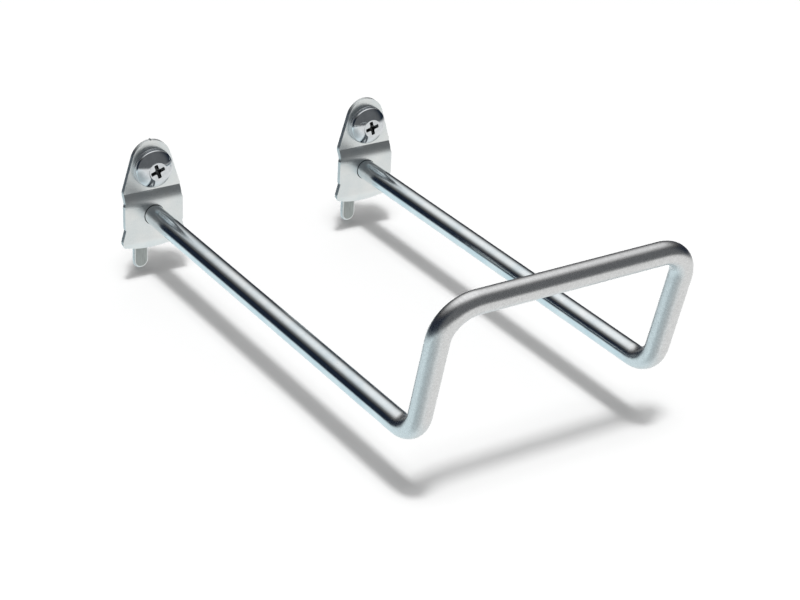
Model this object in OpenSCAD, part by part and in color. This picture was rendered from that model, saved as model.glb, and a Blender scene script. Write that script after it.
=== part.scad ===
// Double-rod peg hook: one bent round rod, staked into two stamped plates.
// Each plate hooks into a lower peg hole with its tongue and is held at the
// upper peg hole by a truss-head screw with a flat washer.
//
// Frame: +Z up, the board's front face is the plane y = 0 and the hook stands
// out of it towards -Y. The origin is midway between the two upper peg holes.

/* [Rod loop] */
// Diameter of the round rod
rod_d = 6.35; // [5:0.05:8]
// Distance between the centre lines of the two legs
leg_spacing = 76.2; // [50.8:25.4:152.4]
// Reach from the plate's front face to the centre-line corner at the upturn
leg_reach = 146.05; // [80:0.05:260]
// Length of the upturn along its slope, between centre-line corners
upturn_len = 41.2; // [30:0.1:90]
// Lean of the upturn away from the board, from the vertical
upturn_lean = 12.5; // [0:0.5:30]
// Centre-line radius of the four bends
bend_r = 9.5; // [8:0.1:14]
// How much thinner the rod is drawn in its bends
bend_thinning = 0.03; // [0.02:0.01:0.1]
// How far the flat head upset on each end stands out beyond the rod
stake_rim = 1.325; // [1:0.025:2]
// Thickness of that head
stake_t = 1.1; // [0.6:0.1:1.3]
// Radial clearance of the rod in the plate's hole
rod_clear = 0.1; // [0.05:0.01:0.2]

/* [Back plates] */
// Thickness of the sheet
sheet_t = 1.5; // [1.2:0.1:2]
// Width of the plate beside the rod
pad_w = 19.5; // [17:0.1:24]
// Width of the plate at the joggle and the shoulders
flange_w = 18.9; // [16:0.1:19]
// Width of the flared foot
foot_w = 21; // [20:0.1:25]
// Radius of the rounded top
crown_r = 6.5; // [6:0.1:8]
// Height of the top above the screw
crown_rise = 8.5; // [7:0.1:10]
// Drop from the screw to the shoulders
shoulder_drop = 7; // [5:0.1:8]
// Drop from the screw to the top line of the joggle
joggle_drop = 8; // [7.5:0.1:9]
// Height of the joggle
joggle_h = 2.4; // [2:0.1:3]
// How far the joggle brings the pad out in front of the flange
joggle_depth = 1.5; // [1.4:0.1:2]
// Drop from the screw to the rod
rod_drop = 15.4; // [15:0.1:18]
// Drop from the screw to the line where the foot bends back
foot_bend_drop = 23.6; // [22.5:0.1:24]
// Drop from the screw to the lowest point of the foot
foot_drop = 26.55; // [26.2:0.05:27.5]
// Slope of the foot towards the board
foot_angle = 24; // [18:1:26]
// Radius of the foot's lower edge
foot_edge_r = 27; // [20:1:40]
// Radius of the foot's two corners
foot_corner_r = 1.6; // [1:0.1:2.5]
// Inside radius of the bends in the sheet
fold_r = 1; // [0.8:0.1:1.5]
// How far each face of the sheet draws in along a bend
fold_thinning = 0.01; // [0.01:0.01:0.05]
// How far below the rod the plate keeps its full width
pad_tail = 3.6; // [3:0.1:4]

/* [Tongues] */
// Thickness of the peg board
board_t = 6.35; // [5:0.05:8]
// Width of the tongue
tongue_w = 5; // [4:0.1:5.8]
// Drop from the screw to the tongue's middle
tongue_drop = 25.8; // [25.4:0.1:26]
// Length that the tongue hangs down behind the board, from its middle
tongue_len = 12; // [8:0.1:16]

/* [Screws] */
// Outer diameter of the thread
thread_d = 5.5; // [4.8:0.1:6]
// Length below the head
screw_len = 9.5; // [8:0.1:13]
// How far the plain neck under the head is sunk below the thread
neck_relief = 0.25; // [0.2:0.05:0.4]
// Length of the point
point_len = 3; // [2:0.1:4]
// Diameter of the truss head
head_d = 12; // [11:0.1:13]
// Height of the head's straight rim
rim_h = 1.1; // [0.5:0.1:1.2]
// Height of the dome above the rim
dome_h = 2.6; // [1.5:0.1:3.0]
// Width of the cross recess
cross_w = 4.7; // [4:0.1:5.5]
// Width of one wing of the recess
wing_w = 1.1; // [0.9:0.1:1.4]
// Depth of the recess
cross_depth = 1.9; // [1.2:0.1:2.2]
// Turn of the left screw's recess from upright
left_cross_turn = 18; // [0:1:90]
// Turn of the right screw's recess from upright
right_cross_turn = 14; // [0:1:90]

/* [Washers] */
// Outer diameter of the washer
washer_d = 12.5; // [11.5:0.1:14]
// Thickness of the washer
washer_t = 1.1; // [0.8:0.1:1.4]
// Radial clearance of the thread in the washer
washer_clear = 0.08; // [0.05:0.01:0.1]
// Radial clearance of the thread in the plate
screw_clear = 0.4; // [0.3:0.05:0.6]
// Gap between faces that turn on each other
seat_gap = 0.02; // [0.01:0.01:0.05]

/* [Hidden] */
$fn = 72;
overlap = 0.5;
bend_grip = 0.2;
fold_grip = 0.1;

flange_front = -sheet_t;
pad_front = flange_front - joggle_depth;
pad_back = pad_front + sheet_t;
washer_back = flange_front - seat_gap;
head_back = washer_back - washer_t - seat_gap;
// The thread starts where the screw enters the board
neck_len = -head_back;
upturn_turn = 90 - upturn_lean;
crown_z = crown_rise - crown_r;

// Length that a bend takes off each straight beside it
function setback(turn, r) = r * tan(turn / 2);

// ---- Rod loop ----

// One bend of the rod: it starts at the origin along +X and curls towards +Y.
// Bending draws the rod a hair thinner there.
module rod_bend(turn) {
    translate([0, bend_r, 0])
        rotate([0, 0, -90])
            rotate_extrude(angle = turn)
                translate([bend_r, 0])
                    circle(d = rod_d - bend_thinning);
}

// Moves what follows to the end of such a bend
module after_bend(turn) {
    translate([bend_r * sin(turn), bend_r * (1 - cos(turn)), 0])
        rotate([0, 0, turn])
            children();
}

// A straight of the rod along +X that runs a little way into its bends
module rod_straight(length, start = bend_grip, end = bend_grip) {
    translate([-start, 0, 0])
        rotate([0, 90, 0])
            cylinder(d = rod_d, h = start + length + end);
}

// One side of the loop, from the plate's back face to the top bar: it starts
// along +X, turns up towards +Y, and then turns in to meet the bar
module loop_side() {
    leg_len = sheet_t + leg_reach - setback(upturn_turn, bend_r);
    rise_len = upturn_len - setback(upturn_turn, bend_r) - setback(90, bend_r);

    rod_straight(leg_len, start = 0);
    translate([leg_len, 0, 0]) {
        rod_bend(upturn_turn);
        after_bend(upturn_turn) {
            rod_straight(rise_len);
            translate([rise_len, 0, 0])
                rotate([90, 0, 0])
                    rod_bend(90);
        }
    }
}

// The bar across the top of the upturn, centred on the origin
module top_bar() {
    bar_len = leg_spacing - 2 * setback(90, bend_r);
    translate([-bar_len / 2, 0, 0])
        rod_straight(bar_len);
}

// Flat head upset on the rod's end against the back of the plate. A thick rod's
// head is cut short where the joggle starts.
module stake_head() {
    chamfer = stake_t / 3;
    stake_r = min(rod_d / 2 + stake_rim, rod_drop - joggle_drop - joggle_h);
    rotate([90, 0, 0])
        rotate_extrude()
            polygon([[0, -stake_t], [stake_r - chamfer, -stake_t],
                     [stake_r, chamfer - stake_t], [stake_r, 0], [0, 0]]);
}

module rod_loop() {
    color("silver") {
        for (side = [0, 1])
            mirror([side, 0, 0])
                translate([leg_spacing / 2, pad_back, -rod_drop]) {
                    rotate([90, 0, -90])
                        loop_side();
                    stake_head();
                }
        translate([0, pad_front - leg_reach - upturn_len * sin(upturn_lean),
                   upturn_len * cos(upturn_lean) - rod_drop])
            top_bar();
    }
}

// ---- Back plates ----

// Side view of a folded strip. Each step is [straight length, turn], the strip
// starts at the origin along +X, and a positive turn curls it towards +Y. The
// straights run a little way into the bends, which are a hair thinner.
module folded_strip(steps, i = 0) {
    length = steps[i][0];
    turn = steps[i][1];
    side = turn < 0 ? -1 : 1;
    mid_r = fold_r + sheet_t / 2;
    start_grip = i > 0 ? fold_grip : 0;
    end_grip = turn != 0 ? fold_grip : 0;

    translate([-start_grip, -sheet_t / 2])
        square([start_grip + length + end_grip, sheet_t]);
    if (turn != 0)
        translate([length, 0]) {
            translate([0, side * mid_r])
                intersection() {
                    difference() {
                        circle(r = fold_r + sheet_t - fold_thinning);
                        circle(r = fold_r + fold_thinning);
                    }
                    polygon([[0, 0], [0, -side * 2 * mid_r],
                             2 * mid_r / cos(turn / 2)
                                 * [sin(abs(turn) / 2), -side * cos(turn / 2)],
                             2 * mid_r * [sin(abs(turn)), -side * cos(turn)]]);
                }
            translate([mid_r * sin(abs(turn)), side * mid_r * (1 - cos(turn))])
                rotate(turn)
                    folded_strip(steps, i + 1);
        }
}

// Straight left between two corners, once their bends are taken off
function straight(corner_len, turn_a, turn_b) =
    corner_len - setback(abs(turn_a), fold_r + sheet_t / 2)
               - setback(abs(turn_b), fold_r + sheet_t / 2);

joggle_turn = atan(joggle_depth / joggle_h);
joggle_run = joggle_depth / sin(joggle_turn);
// A corner line on the sheet's front lies beside the corner of its middle
front_shift = sheet_t / 2 * tan(joggle_turn / 2);
foot_shift = sheet_t / 2 * tan(foot_angle / 2);
flange_run = crown_rise + joggle_drop - front_shift;
pad_run = foot_bend_drop - joggle_drop - joggle_h + front_shift + foot_shift;
foot_run = (foot_drop + sheet_t - foot_bend_drop) / cos(foot_angle);

flange_steps = [
    [straight(flange_run, 0, joggle_turn), -joggle_turn],
    [straight(joggle_run, joggle_turn, joggle_turn), joggle_turn],
    [straight(pad_run, joggle_turn, foot_angle), foot_angle],
    [straight(foot_run, foot_angle, 0), 0]];

// Middle of the sheet where the foot crosses the tongue's height
tongue_turn = 90 - foot_angle;
tongue_start = foot_bend_drop - foot_shift;
tongue_slope_run = (tongue_drop - tongue_start) / cos(foot_angle);
tongue_root_y = pad_back - sheet_t / 2 + (tongue_drop - tongue_start) * tan(foot_angle);
tongue_run = board_t + sheet_t / 2 - tongue_root_y;

tongue_steps = [
    [straight(tongue_slope_run, 0, tongue_turn), tongue_turn],
    [straight(tongue_run, tongue_turn, 90), -90],
    [straight(tongue_len, 90, 0), 0]];

// Turns a side view, drawn from the top down, into the plate's frame
module side_view(width) {
    multmatrix([[0, 0, 1, -width / 2], [0, 1, 0, 0], [-1, 0, 0, 0]])
        linear_extrude(width)
            children();
}

// Turns a front view into a block that the whole plate lies in
module front_view() {
    depth = 2 * (joggle_depth + sheet_t);
    translate([0, depth / 2, 0])
        rotate([90, 0, 0])
            linear_extrude(depth)
                children();
}

// Outline of the plate from the front, without the tongue
module plate_outline() {
    taper = asin(crown_r / norm([flange_w / 2, crown_z + shoulder_drop]))
            + atan((crown_z + shoulder_drop) / (flange_w / 2)) - 90;
    step_top = joggle_drop + joggle_h + overlap;
    step_bottom = rod_drop + pad_tail;
    foot_wide = foot_bend_drop - foot_corner_r / 2;
    corner_x = foot_w / 2 - foot_corner_r;
    corner_z = -foot_wide - foot_corner_r / 2;

    // Rounded top, with sides that touch it
    translate([0, crown_z])
        circle(r = crown_r);
    polygon([[crown_r * cos(taper), crown_z - crown_r * sin(taper)],
             [flange_w / 2, -shoulder_drop], [-flange_w / 2, -shoulder_drop],
             [-crown_r * cos(taper), crown_z - crown_r * sin(taper)]]);
    // Flange, joggle, and the wider pad that the shear left
    translate([-flange_w / 2, -step_bottom - overlap])
        square([flange_w, step_bottom + overlap - shoulder_drop]);
    translate([-pad_w / 2, -step_bottom])
        square([pad_w, step_bottom - step_top]);
    // Flared foot with round corners and a round lower edge
    intersection() {
        union() {
            polygon([[-flange_w / 2, -step_bottom], [flange_w / 2, -step_bottom],
                     [foot_w / 2, -foot_wide], [foot_w / 2, corner_z],
                     [corner_x, corner_z - foot_corner_r], [-corner_x, corner_z - foot_corner_r],
                     [-foot_w / 2, corner_z], [-foot_w / 2, -foot_wide]]);
            for (side = [-1, 1])
                translate([side * corner_x, corner_z])
                    circle(r = foot_corner_r);
            translate([-corner_x, -foot_drop])
                square([2 * corner_x, foot_drop + corner_z]);
        }
        translate([0, foot_edge_r - foot_drop])
            circle(r = foot_edge_r);
    }
}

// A plate in its own frame: the screw's axis is at x = 0, z = 0
module plate() {
    difference() {
        union() {
            intersection() {
                translate([0, flange_front + sheet_t / 2, crown_rise])
                    side_view(2 * foot_w)
                        folded_strip(flange_steps);
                front_view()
                    plate_outline();
            }
            tongue();
        }
        // Screw hole in the flange
        translate([0, flange_front - overlap, 0])
            rotate([-90, 0, 0])
                cylinder(d = thread_d + 2 * screw_clear, h = sheet_t + 2 * overlap);
        // Rod hole in the pad
        translate([0, pad_front - overlap, -rod_drop])
            rotate([-90, 0, 0])
                cylinder(d = rod_d + 2 * rod_clear, h = sheet_t + 2 * overlap);
    }
}

// The tongue leaves the middle of the foot, passes through the board and
// hangs down behind it with a round end
module tongue() {
    intersection() {
        translate([0, pad_front + sheet_t / 2, -tongue_start])
            side_view(tongue_w)
                rotate(foot_angle)
                    folded_strip(tongue_steps);
        translate([0, board_t + 2 * sheet_t, 0])
            rotate([90, 0, 0])
                linear_extrude(board_t + 3 * sheet_t - pad_front) {
                    end_z = -tongue_drop - tongue_len + tongue_w / 2;
                    translate([-tongue_w / 2, end_z])
                        square([tongue_w, -end_z]);
                    translate([0, end_z])
                        circle(d = tongue_w);
                }
    }
}

module left_plate() {
    color("gainsboro")
        translate([-leg_spacing / 2, 0, 0])
            plate();
}

module right_plate() {
    color("gainsboro")
        translate([leg_spacing / 2, 0, 0])
            plate();
}

// ---- Washers and screws ----

module washer() {
    rotate([90, 0, 0])
        translate([0, 0, -washer_back])
            difference() {
                cylinder(d = washer_d, h = washer_t);
                translate([0, 0, -overlap])
                    cylinder(d = thread_d + 2 * washer_clear, h = washer_t + 2 * overlap);
            }
}

module left_washer() {
    color("silver")
        translate([-leg_spacing / 2, 0, 0])
            washer();
}

module right_washer() {
    color("silver")
        translate([leg_spacing / 2, 0, 0])
            washer();
}

// Truss head, seen from its back face along +Z
module truss_head() {
    dome_r = (pow(head_d / 2, 2) + pow(dome_h, 2)) / (2 * dome_h);
    cylinder(d = head_d, h = rim_h);
    intersection() {
        translate([0, 0, rim_h])
            cylinder(d = head_d, h = dome_h);
        translate([0, 0, rim_h + dome_h - dome_r])
            sphere(r = dome_r);
    }
}

// Cross recess, with its mouth at z = 0
module cross_recess() {
    mouth = overlap + wing_w;
    for (turn = [0, 90])
        rotate(turn)
            translate([-cross_w / 2, -wing_w / 2, -cross_depth / 2])
                cube([cross_w, wing_w, cross_depth / 2 + mouth]);
    translate([0, 0, -cross_depth])
        cylinder(d1 = wing_w / 2, d2 = 2 * wing_w, h = cross_depth);
}

// A screw with its axis along Y and its recess turned
module screw(cross_turn) {
    translate([0, head_back, 0])
        rotate([90, 0, 0]) {
            difference() {
                truss_head();
                translate([0, 0, rim_h + dome_h])
                    rotate(cross_turn)
                        cross_recess();
            }
            translate([0, 0, -neck_len - overlap])
                cylinder(d = thread_d - 2 * neck_relief, h = neck_len + overlap + rim_h / 2);
            translate([0, 0, point_len - screw_len])
                cylinder(d = thread_d, h = screw_len - point_len - neck_len);
            translate([0, 0, -screw_len])
                cylinder(d1 = thread_d / 6, d2 = thread_d, h = point_len);
        }
}

module left_screw() {
    color("whitesmoke")
        translate([-leg_spacing / 2, 0, 0])
            screw(left_cross_turn);
}

module right_screw() {
    color("whitesmoke")
        translate([leg_spacing / 2, 0, 0])
            screw(right_cross_turn);
}

rod_loop();
left_plate();
right_plate();
left_washer();
right_washer();
left_screw();
right_screw();
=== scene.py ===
"""Double-rod peg board hook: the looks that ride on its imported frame.

The hook is one bent round rod whose ends are staked into two stamped plates,
and each plate is held by a truss-head screw with a flat washer. Everything is
drawn in the frame's own axes and in metres.
"""

import math

import bmesh
import bpy
from bpy.props import FloatProperty, FloatVectorProperty, PointerProperty
from mathutils import Matrix, Vector


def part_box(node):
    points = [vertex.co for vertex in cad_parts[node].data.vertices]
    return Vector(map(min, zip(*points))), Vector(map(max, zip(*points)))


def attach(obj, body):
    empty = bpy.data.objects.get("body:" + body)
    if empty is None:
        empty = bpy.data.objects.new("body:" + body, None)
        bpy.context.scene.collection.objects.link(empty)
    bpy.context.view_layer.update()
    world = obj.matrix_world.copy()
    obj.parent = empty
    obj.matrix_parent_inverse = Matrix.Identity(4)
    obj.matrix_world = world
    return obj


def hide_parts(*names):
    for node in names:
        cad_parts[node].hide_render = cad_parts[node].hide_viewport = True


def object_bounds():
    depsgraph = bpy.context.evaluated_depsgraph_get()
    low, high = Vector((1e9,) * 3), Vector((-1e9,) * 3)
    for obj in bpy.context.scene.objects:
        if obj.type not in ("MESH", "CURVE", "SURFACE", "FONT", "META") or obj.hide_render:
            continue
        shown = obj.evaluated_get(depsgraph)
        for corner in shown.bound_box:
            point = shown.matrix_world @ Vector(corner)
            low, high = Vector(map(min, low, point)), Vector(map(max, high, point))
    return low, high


bl_info = {
    "name": "Peg Board Hook",
    "version": (1, 0, 0),
    "blender": (4, 5, 0),
    "location": "3D View > Sidebar > Peg Hook",
    "description": "Builds a zinc-plated double-rod peg board hook and its studio",
    "category": "Object",
}

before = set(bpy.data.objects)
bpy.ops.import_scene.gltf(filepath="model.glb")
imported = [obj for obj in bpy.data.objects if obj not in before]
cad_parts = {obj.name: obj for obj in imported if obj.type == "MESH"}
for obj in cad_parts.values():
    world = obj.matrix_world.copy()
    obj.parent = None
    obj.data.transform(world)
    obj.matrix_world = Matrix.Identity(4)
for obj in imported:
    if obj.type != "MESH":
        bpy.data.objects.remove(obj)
CAD_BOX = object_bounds()

MM = 0.001
SIDES = ("left", "right")
SEAT_GAP = 0.02 * MM  # between a washer's front and the head on it
FOLD_STEP = 0.16 * MM  # between the cuts that let a flat sheet bend
ROD_STEP = 1.2 * MM  # between the rings along the rod's legs
WORKED_ZONE = (14 * MM, 2 * MM)  # starts and ends this far before a leg's bend
RIPPLE_PITCH = 1.1 * MM  # of the ripple inside a bend, over one radian
PAD_STEP = (0.25 * MM, 0.75 * MM)  # the width changes here, below the joggle
FACE, CUT_EDGE, TONGUE = 0, 1, 2  # finishes of a plate
TURNS = 96  # points round a turned piece
FLOOR_REACH = 30  # metres from the middle of the floor to its edges
DOME_RADIUS = 4  # metres

ROD_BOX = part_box("rod_loop")
WASHER_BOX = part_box("left_washer")
SCREW_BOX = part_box("left_screw")


def screw_axis(side):
    """Where the axis of that side's screw crosses the board's front face."""
    low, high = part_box(f"{side}_screw")
    return Vector(((low.x + high.x) / 2, 0, (low.z + high.z) / 2))


# ---- Sizes and colours ----


def length(name, description, millimetres, low=0.01, high=500):
    """A size in metres, stated in millimetres."""
    return FloatProperty(
        name=name,
        description=description,
        default=millimetres * MM,
        min=low * MM,
        max=high * MM,
        precision=5,
        unit="LENGTH",
    )


def angle(name, description, degrees, low=-360, high=360):
    """An angle in radians, stated in degrees."""
    return FloatProperty(
        name=name,
        description=description,
        default=math.radians(degrees),
        min=math.radians(low),
        max=math.radians(high),
        subtype="ANGLE",
    )


def share(name, description, default, high=1.0):
    return FloatProperty(
        name=name, description=description, default=default, min=0, max=high
    )


def tint(name, description, red, green, blue):
    return FloatVectorProperty(
        name=name,
        description=description,
        default=(red, green, blue),
        min=0,
        max=1,
        subtype="COLOR",
    )


class RodSizes(bpy.types.PropertyGroup):
    """Sizes of the bent rod that the frame's box doesn't give."""

    rod_d: length("Rod diameter", "Diameter of the round rod", 6.35)
    bend_r: length("Bend radius", "Centre-line radius of the four bends", 9.5)
    rod_drop: length("Rod drop", "Drop from the screws to the legs", 15.4)
    pad_back: length("Pad back", "From the board's face to the back of the pads", 1.5)
    upturn_lean: angle("Upturn lean", "Lean of the upturn from the vertical", 12.5)
    head_d: length("Staked head", "Diameter of the head behind each pad", 9)
    head_t: length("Head thickness", "Thickness of that head", 1.1)
    bend_flat: share("Bend flattening", "How much a bend flattens the rod", 0.025)
    wrinkle: length("Wrinkle", "Depth of the ripple inside the lower bends", 0.05)


class PlateSizes(bpy.types.PropertyGroup):
    """Sizes of the stamped plates, as drops from the screw's axis."""

    sheet_t: length("Sheet", "Thickness of the sheet", 1.5)
    pad_w: length("Pad width", "Width of the plate beside the rod", 19.5)
    flange_w: length("Flange width", "Width at the joggle and shoulders", 18.9)
    foot_w: length("Foot width", "Width of the flared foot", 21)
    crown_r: length("Crown radius", "Radius of the rounded top", 6.5)
    crown_rise: length("Crown rise", "Height of the top above the screw", 8.5)
    shoulder_drop: length("Shoulder drop", "Drop to the shoulders", 7)
    joggle_drop: length("Joggle drop", "Drop to the top line of the joggle", 8)
    joggle_h: length("Joggle height", "Height of the joggle", 2.4)
    joggle_depth: length("Joggle depth", "How far it brings the pad forward", 1.5)
    foot_bend_drop: length("Foot bend drop", "Drop to the bend of the foot", 23.6)
    foot_drop: length("Foot drop", "Drop to the lowest point of the foot", 26.55)
    foot_angle: angle("Foot angle", "Slope of the foot towards the board", 24)
    foot_edge_r: length("Foot edge radius", "Radius of the lower edge", 27)
    foot_corner_r: length("Foot corner radius", "Radius of its corners", 1.6)
    flare_drop: length("Flare drop", "Drop from the screws to the flare", 19)
    fold_r: length("Fold radius", "Inside radius of the bends", 1)
    crease_r: length("Crease radius", "Inside radius above the joggle", 0.3)
    sweep_r: length("Sweep radius", "Inside radius below the joggle", 6)
    burr: length("Burr", "Height of the burr on the left plate's top", 0.35)
    rod_hole_d: length("Rod hole", "Diameter of the hole for the rod", 6.7)
    screw_hole_d: length("Screw hole", "Diameter of the hole for the screw", 6.3)
    board_t: length("Board", "Thickness of the peg board", 6.35)
    tongue_w: length("Tongue width", "Width of the tongue", 5)
    tongue_drop: length("Tongue drop", "Drop to the tongue's middle", 25.8)
    tongue_len: length("Tongue length", "How far it hangs behind the board", 12)
    edge_r: length("Edge break", "Rounding along the sheared edges", 0.22)
    tongue_edge_r: length("Tongue edge", "Rounding along the tongue", 0.6)


class FastenerSizes(bpy.types.PropertyGroup):
    """Sizes of the screws and washers."""

    washer_bore_d: length("Washer bore", "Diameter of the washer's hole", 5.66)
    head_d: length("Head diameter", "Diameter of the truss head", 12)
    rim_h: length("Rim height", "Height of the head's straight rim", 1.1)
    thread_d: length("Thread diameter", "Outer diameter of the thread", 5.5)
    thread_depth: length("Thread depth", "Height of the thread's ridge", 0.55)
    pitch: length("Pitch", "Advance of the thread in one turn", 1.814)
    neck_d: length("Neck diameter", "Diameter of the plain neck", 5)
    point_len: length("Point length", "Length of the point", 3)
    cross_w: length("Cross width", "Width of the cross recess", 4.7)
    wing_w: length("Wing width", "Width of one wing of the recess", 1.1)
    cross_depth: length("Cross depth", "Depth of the recess", 1.9)
    punched_r: length("Punched radius", "Radius of the flat round it", 2.8)
    edge_r: length("Edge break", "Rounding along the head's edges", 0.07)
    left_cross_turn: angle("Left cross turn", "Turn of the left recess", 18)
    right_cross_turn: angle("Right cross turn", "Turn of the right recess", 14)


class FinishColours(bpy.types.PropertyGroup):
    """Colours of the plated finishes and the floor."""

    rod_zinc: tint("Rod zinc", "Bright zinc on the drawn rod", 0.86, 0.89, 0.90)
    rod_haze: tint("Rod haze", "Bluish haze in that zinc", 0.70, 0.78, 0.82)
    rod_worked: tint("Worked rod", "Zinc where the rod was bent", 0.80, 0.805, 0.81)
    plate_zinc: tint("Plate zinc", "Zinc on the stamped plates", 0.93, 0.955, 0.95)
    plate_haze: tint("Plate haze", "Cool haze on the plates", 0.85, 0.90, 0.91)
    # The tongue colour is dark to paint the shade that the plate casts over the tongues.
    tongue_zinc_in_shade: tint("Tongue zinc", "Duller zinc on the tongues", 0.36, 0.39, 0.385)
    screw_zinc: tint("Screw zinc", "Bright plating on the screws", 0.80, 0.83, 0.86)
    washer_zinc: tint("Washer zinc", "Plating on the washers", 0.72, 0.76, 0.79)
    floor: tint("Floor", "Pale floor", 0.45, 0.45, 0.45)


class StudioSizes(bpy.types.PropertyGroup):
    """Camera, floor and light."""

    azimuth: angle("Azimuth", "Turn of the camera round the hook", -34.258)
    elevation: angle("Elevation", "Height of the camera over the horizon", 27.679)
    roll: angle("Roll", "Turn of the camera about its own axis", 3.184)
    distance: length("Distance", "From the camera to what it aims at", 573.855, 1, 5000)
    lens: FloatProperty(
        name="Lens", description="Focal length, for a 36 mm sensor", default=88.772
    )
    aim: FloatVectorProperty(
        name="Aim",
        description="What the camera aims at, near the middle of the rods",
        default=(4.688 * MM, -76.025 * MM, -21.149 * MM),
        precision=5,
        subtype="TRANSLATION",
    )
    floor_drop: length("Floor drop", "From the screws down to the floor", 38.4)
    key_distance: length("Key distance", "From the hook to the key", 9000, 1, 9999)
    key_spread: angle("Key spread", "Angle that the key light covers", 6.5)
    halo_spread: angle("Halo spread", "Angle that the key's halo covers", 22)
    halo_share: share("Halo share", "Part of the key's light in its halo", 0.42, 1)
    key_strength: share("Key light", "Power of the key light in watts", 1330, 5000)
    fill_strength: share("Fill", "Brightness of the white surround", 0.79, 10)
    key_way: FloatVectorProperty(
        name="Key way",
        description="Direction from the hook to the key light",
        default=(-0.2225, -0.3315, 1),
        subtype="DIRECTION",
    )
    softbox: FloatVectorProperty(
        name="Softbox",
        description="Direction of the reflected softbox overhead",
        default=(0.164, 0.41, 0.897),
        subtype="DIRECTION",
    )


# Glow by how far a direction points at the softbox, then across the dark room
# from front to back, and over the pale ground: (place, brightness) stops
SOFTBOX_FALL = [
    (0.45, 0.012),
    (0.62, 0.10),
    (0.70, 0.22),
    (0.77, 0.45),
    (0.86, 0.78),
    (0.92, 0.97),
    (1.0, 1.02),
]
ROOM_TONES = [(0.0, (0.13, 0.135, 0.14)), (1.0, (0.010, 0.018, 0.032))]
GROUND_TONES = [(0.0, (0.83, 0.83, 0.82)), (0.85, (0.74, 0.87, 0.91))]
GROUND_DIP = [(0.80, 1.0), (0.95, 0.64)]
# Directions in which the ground turns cool and dims, and in which it and the
# back of the room lie
COOL_SIDE = (-0.62, 0.5, -0.6)
DIM_SIDE = (-0.66, -0.3, -0.69)
BELOW = (0, -0.137, -1)
BACKWARDS = (0, 1, 0)

GROUPS = {
    "peg_rod": RodSizes,
    "peg_plate": PlateSizes,
    "peg_fastener": FastenerSizes,
    "peg_colour": FinishColours,
    "peg_studio": StudioSizes,
}


# ---- Materials ----


class Finish:
    """A procedural material under construction, with short ways to add nodes."""

    def __init__(self, name, colour, roughness, metallic=1.0):
        self.material = bpy.data.materials.new(name)
        self.material.use_nodes = True
        self.material.diffuse_color = (*colour, 1)
        self.nodes = self.material.node_tree.nodes
        self.links = self.material.node_tree.links
        self.shader = self.nodes["Principled BSDF"]
        self.shader.inputs["Base Color"].default_value = (*colour, 1)
        self.shader.inputs["Roughness"].default_value = roughness
        self.shader.inputs["Metallic"].default_value = metallic

    def add(self, kind, **values):
        """A node whose sockets are set, or linked where the value is a socket."""
        node = self.nodes.new(f"ShaderNode{kind}")
        for name, value in values.items():
            self.feed(node.inputs[name.replace("_", " ")], value)
        return node

    def feed(self, socket, value):
        """Links a socket to another one, or sets it to a plain value."""
        if isinstance(value, bpy.types.NodeSocket):
            self.links.new(value, socket)
        elif socket.type == "RGBA":
            socket.default_value = (*value, 1)
        else:
            socket.default_value = value

    def place(self, source="Object", scale=(1, 1, 1)):
        """The piece's own coordinates, in millimetres, stretched by scale."""
        coordinates = self.add("TexCoord")
        mapping = self.add("Mapping", Vector=coordinates.outputs[source])
        mapping.inputs["Scale"].default_value = [s / MM for s in scale]
        return mapping.outputs["Vector"]

    def noise(self, vector, scale, detail=4.0, roughness=0.55):
        return self.add(
            "TexNoise", Vector=vector, Scale=scale, Detail=detail, Roughness=roughness
        ).outputs["Fac"]

    def ramp(self, value, low, high, from_low=0.35, from_high=0.65):
        """Turns a texture's value into one between low and high."""
        ends = {"From_Min": from_low, "From_Max": from_high, "To_Min": low}
        node = self.add("MapRange", Value=value, To_Max=high, **ends)
        return node.outputs["Result"]

    def blend(self, factor, first, second, way="MIX"):
        """A mix of two colours."""
        node = self.add("Mix")
        node.data_type, node.blend_type = "RGBA", way
        self.feed(node.inputs["Factor"], factor)
        self.feed(node.inputs[6], first)
        self.feed(node.inputs[7], second)
        return node.outputs[2]

    def mottle(self, value, first, second):
        """Two colours in the patches of a texture."""
        return self.blend(self.ramp(value, 0, 1), first, second)

    def math(self, operation, first, second):
        node = self.add("Math")
        node.operation = operation
        self.feed(node.inputs[0], first)
        self.feed(node.inputs[1], second)
        return node.outputs["Value"]

    def attribute(self, name):
        node = self.add("Attribute")
        node.attribute_name = name
        return node.outputs["Fac"]

    def bump(self, height, depth, strength=1.0, below=None):
        """Relief of that depth in metres, over the relief below it."""
        node = self.add("Bump", Height=height, Distance=depth, Strength=strength)
        if below is not None:
            self.links.new(below, node.inputs["Normal"])
        return node.outputs["Normal"]

    def colour(self, socket):
        self.links.new(socket, self.shader.inputs["Base Color"])

    def roughness(self, socket):
        self.links.new(socket, self.shader.inputs["Roughness"])

    def relief(self, socket):
        self.links.new(socket, self.shader.inputs["Normal"])


def shade(colour, part):
    return [channel * part for channel in colour]


def sparse_pits(finish, vector, scale, size):
    """1 on the plated face and less in small scattered pits."""
    cells = finish.add("TexVoronoi", Vector=vector, Scale=scale)
    pit = finish.ramp(cells.outputs["Distance"], 0, 1, size * 0.4, size)
    patch = finish.ramp(finish.noise(vector, scale * 0.11), 0, 1, 0.55, 0.62)
    closed = finish.math("SUBTRACT", 1, patch)
    return finish.math("MAXIMUM", pit, closed)


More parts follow.
